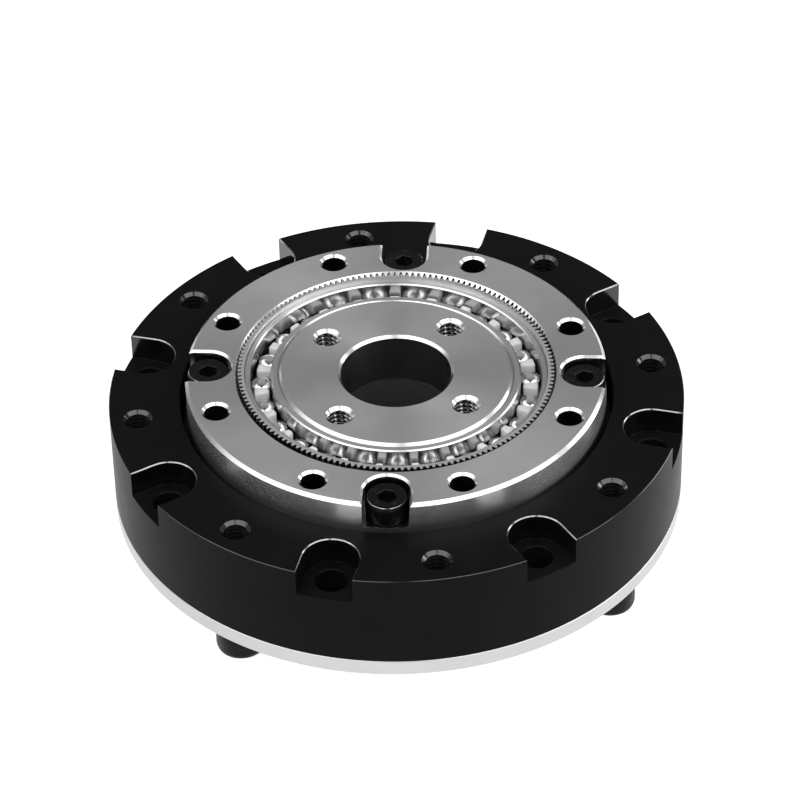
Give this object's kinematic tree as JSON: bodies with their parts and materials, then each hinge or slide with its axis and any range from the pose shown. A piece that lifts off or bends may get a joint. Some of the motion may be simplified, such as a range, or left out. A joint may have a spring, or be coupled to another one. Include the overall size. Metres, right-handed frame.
{
  "type": "strain wave gearbox",
  "caption": "Flat strain wave gearbox: an oval ball bearing plug bends a thin toothed hat to turn a toothed output ring inside a black crossed roller housing.",
  "frame": {"origin": "on the common axis, in the plane on which the heads of the flange screws stand", "axes": "+Z along the common axis, from the flange to the output face; +X through a tapped hole of the housing ring"},
  "size_m": [0.052, 0.052, 0.0159],
  "materials": {
    "housing_black": "satin black oxide",
    "ground_steel": "fine ground",
    "bright_steel": "bright turned",
    "bearing_steel": "polished",
    "ball_steel": "mirror polished",
    "nylon_white": "moulded",
    "screw_black": "black oxide"
  },
  "bodies": {
    "housing": {"outer_ring": "housing_black", "loading_plug": "housing_black", "plug_pin": "bearing_steel", "flexspline": "bright_steel", "bearing_outer_race": "bearing_steel", "flange_screws": "screw_black"},
    "output": {"circular_spline": "ground_steel", "inner_ring": "bearing_steel", "spline_screws": "screw_black"},
    "wave_generator": {"wave_plug": "ground_steel", "bearing_inner_race": "bearing_steel"},
    "ball_set": {"ball_cage": "nylon_white", "ball_01": "ball_steel", "ball_02": "ball_steel", "ball_03": "ball_steel", "ball_04": "ball_steel", "ball_05": "ball_steel", "ball_06": "ball_steel", "ball_07": "ball_steel", "ball_08": "ball_steel", "ball_09": "ball_steel", "ball_10": "ball_steel", "ball_11": "ball_steel", "ball_12": "ball_steel", "ball_13": "ball_steel", "ball_14": "ball_steel", "ball_15": "ball_steel", "ball_16": "ball_steel", "ball_17": "ball_steel", "ball_18": "ball_steel", "ball_19": "ball_steel", "ball_20": "ball_steel", "ball_21": "ball_steel", "ball_22": "ball_steel", "ball_23": "ball_steel"},
    "roller_set": {"rollers_leaning_in": "bearing_steel", "rollers_leaning_out": "bearing_steel", "roller_spacers": "nylon_white"}
  },
  "joints": [
    {"name": "wave_spin", "type": "hinge", "parent": "housing", "child": "wave_generator", "pos_m": [0, 0, 0.013], "axis": [0, 0, 1], "continuous": true, "deforming": ["flexspline", "bearing_outer_race", "ball_01", "ball_02", "ball_03", "ball_04", "ball_05", "ball_06", "ball_07", "ball_08", "ball_09", "ball_10", "ball_11", "ball_12", "ball_13", "ball_14", "ball_15", "ball_16", "ball_17", "ball_18", "ball_19", "ball_20", "ball_21", "ball_22", "ball_23"]},
    {"name": "output_spin", "type": "hinge", "parent": "housing", "child": "output", "pos_m": [0, 0, 0.013], "axis": [0, 0, 1], "continuous": true},
    {"name": "ball_set_spin", "type": "hinge", "parent": "housing", "child": "ball_set", "pos_m": [0, 0, 0.01305], "axis": [0, 0, 1], "continuous": true},
    {"name": "roller_set_spin", "type": "hinge", "parent": "housing", "child": "roller_set", "pos_m": [0, 0, 0.0075], "axis": [0, 0, 1], "continuous": true}
  ],
  "couplings": [
    {"joint": "output_spin", "follows": "wave_spin", "ratio": 0.012346},
    {"joint": "ball_set_spin", "follows": "wave_spin", "ratio": 0.4511},
    {"joint": "roller_set_spin", "follows": "wave_spin", "ratio": 0.0061728}
  ]
}
